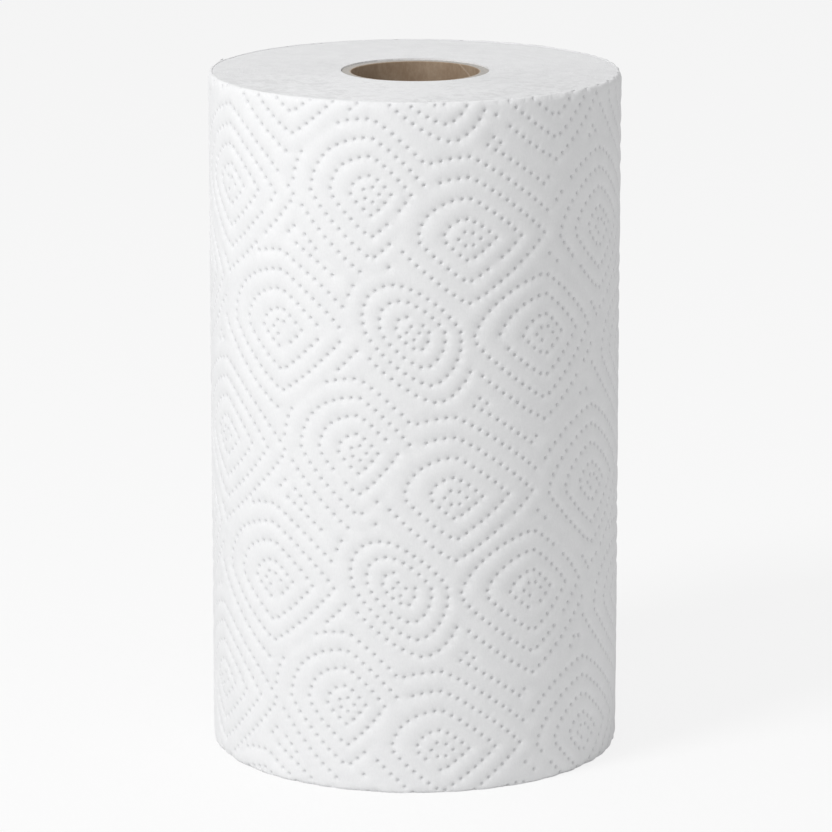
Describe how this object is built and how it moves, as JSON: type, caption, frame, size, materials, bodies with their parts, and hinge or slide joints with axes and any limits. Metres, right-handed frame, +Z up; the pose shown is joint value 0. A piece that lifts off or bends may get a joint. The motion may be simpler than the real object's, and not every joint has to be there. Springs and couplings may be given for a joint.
{
  "type": "paper towel roll",
  "caption": "Upright paper towel roll: a white dot-embossed sheet wound tight on a thick cardboard core tube that is open right through, standing on its cut end.",
  "frame": {"origin": "on the roll's axis, in the paper's end face that the roll stands on", "axes": "+Z up along the roll's axis through the core's hole; -Y is the roll's front, and the tail of the sheet lies on the back half"},
  "size_m": [0.1377, 0.1374, 0.23],
  "materials": {
    "towel_paper": "matte",
    "core_board": "matte"
  },
  "bodies": {
    "root": {"towel_winding": "towel_paper", "core_tube": "core_board"}
  },
  "joints": []
}
